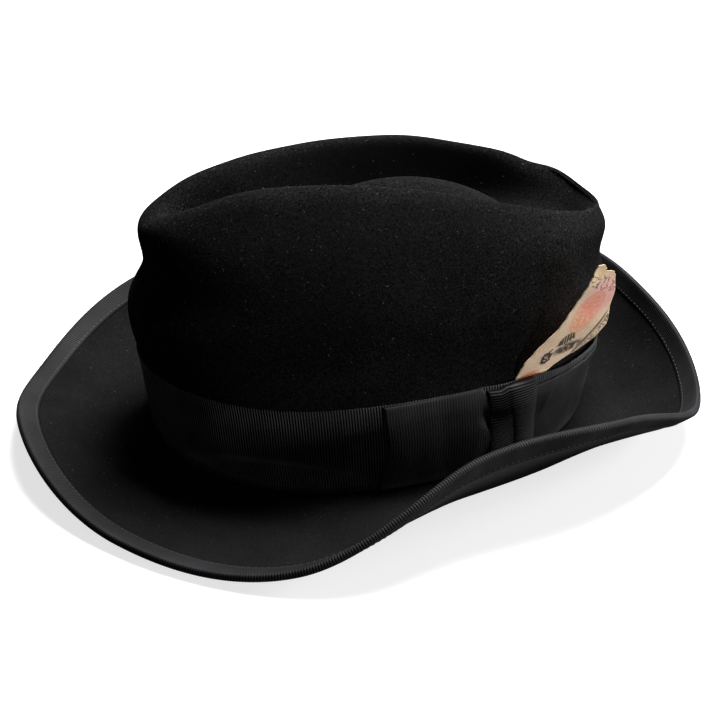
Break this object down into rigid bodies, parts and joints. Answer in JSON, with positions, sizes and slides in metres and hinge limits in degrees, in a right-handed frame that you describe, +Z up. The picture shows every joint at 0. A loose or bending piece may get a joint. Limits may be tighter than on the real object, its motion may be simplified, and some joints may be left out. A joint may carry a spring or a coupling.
{
  "type": "fedora",
  "caption": "Soft black felt fedora with a teardrop crown, a turned-up side and back brim bound in ribbon, a ribbed band with a flat side bow, and a folded paper slip tucked behind the band.",
  "frame": {"origin": "middle of the bounding box's base, on the surface that the hat rests on", "axes": "+Z up; the wearer's front is -Y, the wearer's left is +X"},
  "size_m": [0.273, 0.3038, 0.1228],
  "materials": {
    "felt": "short matt nap",
    "ribbon": "finely ribbed, slight sheen",
    "binding": "finely ribbed, slight sheen",
    "paper": null
  },
  "bodies": {
    "root": {"felt_body": "felt", "hat_band": "ribbon", "bow_left_wing": "ribbon", "bow_right_wing": "ribbon", "bow_knot": "ribbon", "brim_binding": "binding", "paper_slip": "paper"}
  },
  "joints": []
}
